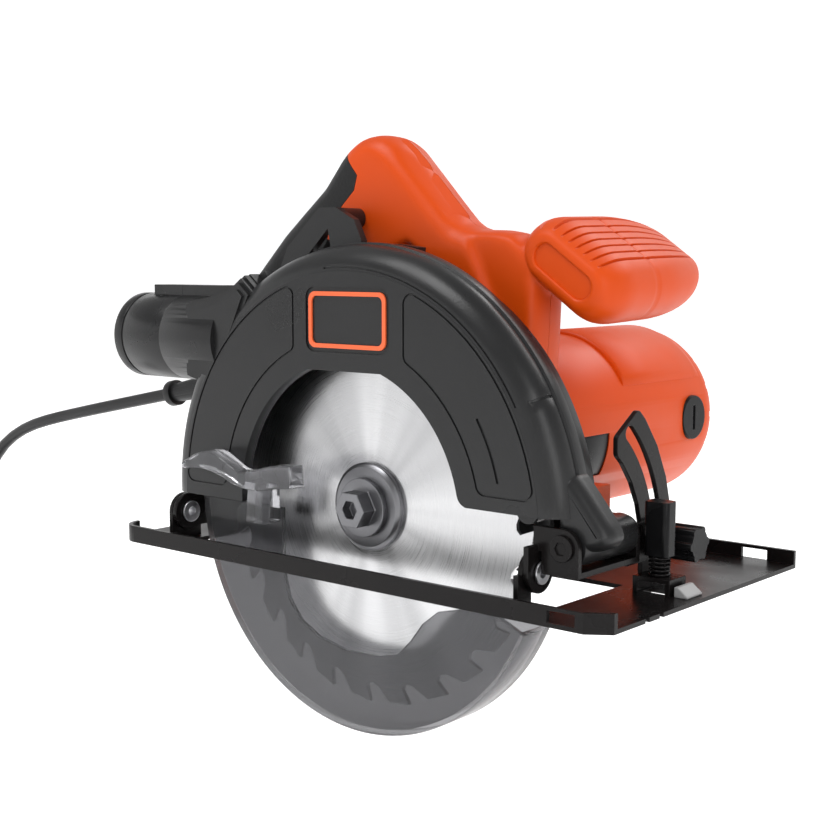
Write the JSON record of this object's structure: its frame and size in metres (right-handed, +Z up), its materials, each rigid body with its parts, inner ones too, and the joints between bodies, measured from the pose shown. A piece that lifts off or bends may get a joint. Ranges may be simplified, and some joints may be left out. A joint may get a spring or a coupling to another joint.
{
  "type": "circular saw",
  "caption": "Corded circular saw with a charcoal upper guard, swinging smoke lower guard, D handle, side handle, dust port and a tilting sheet steel shoe.",
  "frame": {"origin": "centre of the main grip, in the middle of the D handle's rear limb", "axes": "+X forwards in the cutting direction, +Y from the blade towards the motor, +Z up; the blade's axis runs along Y"},
  "size_m": [0.649, 0.2615, 0.362],
  "materials": {
    "guard_black": "satin charcoal plastic with a fine grain",
    "zinc": "zinc plated steel",
    "badge_orange": "printed orange outline",
    "smoke": "translucent smoke grey plastic",
    "smoke_clear": "clear grey plastic",
    "spring_steel": "spring steel wire",
    "blade_steel": "circularly brushed steel",
    "flange_steel": "turned steel",
    "shaft_steel": "ground steel",
    "gear_steel": "hardened steel",
    "bearing_steel": "polished steel",
    "cast_alloy": "as cast alloy",
    "black_plastic": "matt black moulded plastic",
    "lamination": "stacked steel sheets",
    "copper": "copper",
    "orange_plastic": "orange moulded plastic, softly glossy",
    "carbon": "carbon",
    "grip_rubber": "textured soft grip",
    "black_steel": "black painted sheet steel",
    "grey_plastic": "grey plastic",
    "cord_rubber": "black rubber sheath"
  },
  "bodies": {
    "saw_body": {"upper_guard": "guard_black", "guard_back": "guard_black", "guard_screws": "zinc", "dust_sleeve": "guard_black", "badge_plate": "badge_orange", "guard_spring": "spring_steel", "front_spindle_bearing": "bearing_steel", "rear_spindle_bearing": "bearing_steel", "gear_case": "cast_alloy", "gear_case_cover": "cast_alloy", "armature_bearings": "bearing_steel", "stator": "lamination", "motor_housing": "orange_plastic", "side_vent_grille": "black_plastic", "carbon_brushes": "carbon", "brush_caps": "black_plastic", "handle_left": "orange_plastic", "handle_right": "orange_plastic", "grip_pad": "grip_rubber", "handle_screws": "zinc", "trigger_pin": "shaft_steel", "switch_body": "black_plastic", "side_handle": "orange_plastic", "depth_bolt": "zinc", "strain_relief": "cord_rubber", "cord": "cord_rubber", "cord_coil": "cord_rubber", "cord_tie": "grey_plastic", "plug": "black_plastic"},
    "lower_guard_unit": {"lower_guard": "smoke", "retract_lever": "smoke_clear"},
    "blade_unit": {"blade": "blade_steel", "inner_flange": "flange_steel", "outer_flange": "flange_steel", "arbor_bolt": "flange_steel", "spindle": "shaft_steel", "output_gear": "gear_steel"},
    "armature": {"armature_shaft": "shaft_steel", "armature_core": "lamination", "commutator": "copper", "cooling_fan": "black_plastic"},
    "spindle_lock": {"spindle_lock": "black_plastic"},
    "trigger": {"trigger": "black_plastic"},
    "lock_off_button": {"lock_off_button": "black_plastic"},
    "depth_frame": {"depth_bracket": "black_steel", "front_bracket": "black_steel", "front_pivot_pin": "black_steel", "bevel_bolt": "zinc"},
    "depth_lever": {"depth_lever": "black_plastic"},
    "bevel_knob": {"bevel_knob": "black_plastic"},
    "shoe_unit": {"shoe": "black_steel", "bevel_quadrant": "black_steel", "pivot_rivets": "zinc", "fence_clamp": "black_steel", "fence_spring": "spring_steel", "line_pointer": "grey_plastic"},
    "fence_knob": {"fence_knob": "black_plastic"}
  },
  "joints": [
    {"name": "blade_spin", "type": "hinge", "parent": "saw_body", "child": "blade_unit", "pos_m": [0.07, -0.04, -0.118], "axis": [0, 1, 0], "continuous": true},
    {"name": "armature_spin", "type": "hinge", "parent": "saw_body", "child": "armature", "pos_m": [0.08781, 0.06, -0.08715], "axis": [0, 1, 0], "continuous": true},
    {"name": "guard_swing", "type": "hinge", "parent": "saw_body", "child": "lower_guard_unit", "pos_m": [0.07, -0.04, -0.118], "axis": [0, 1, 0], "range_deg": [0, 110], "stiffness_Nm_per_rad": 0.06, "springref_deg": -45.84},
    {"name": "spindle_lock_press", "type": "slide", "parent": "saw_body", "child": "spindle_lock", "axis": [1, 0, 0], "range_m": [0, 0.006], "stiffness_N_per_m": 300, "springref_m": -0.004},
    {"name": "trigger_squeeze", "type": "hinge", "parent": "saw_body", "child": "trigger", "pos_m": [0.0187, 0.0005, 0.0031], "axis": [0, 1, 0], "range_deg": [0, 10], "stiffness_Nm_per_rad": 0.6, "springref_deg": -11.46},
    {"name": "lock_off_press", "type": "slide", "parent": "saw_body", "child": "lock_off_button", "axis": [0, -1, 0], "range_m": [0, 0.003], "stiffness_N_per_m": 300, "springref_m": -0.003},
    {"name": "depth_swing", "type": "hinge", "parent": "saw_body", "child": "depth_frame", "pos_m": [0.19, -0.032, -0.12], "axis": [0, -1, 0], "range_deg": [0, 34]},
    {"name": "bevel_tilt", "type": "hinge", "parent": "depth_frame", "child": "shoe_unit", "pos_m": [0.07, -0.054, -0.132], "axis": [-1, 0, 0], "range_deg": [0, 45]},
    {"name": "depth_lever_turn", "type": "hinge", "parent": "saw_body", "child": "depth_lever", "pos_m": [-0.01, -0.017, -0.12], "axis": [0, 1, 0], "range_deg": [0, 50]},
    {"name": "bevel_knob_turn", "type": "hinge", "parent": "depth_frame", "child": "bevel_knob", "pos_m": [0.21, 0.01882, -0.12691], "axis": [1, 0, 0], "range_deg": [0, 180]},
    {"name": "fence_knob_turn", "type": "hinge", "parent": "shoe_unit", "child": "fence_knob", "pos_m": [0.20275, 0, -0.118], "axis": [0, 0, 1], "range_deg": [0, 180]}
  ],
  "couplings": [
    {"joint": "armature_spin", "follows": "blade_spin", "ratio": -2.5625}
  ]
}
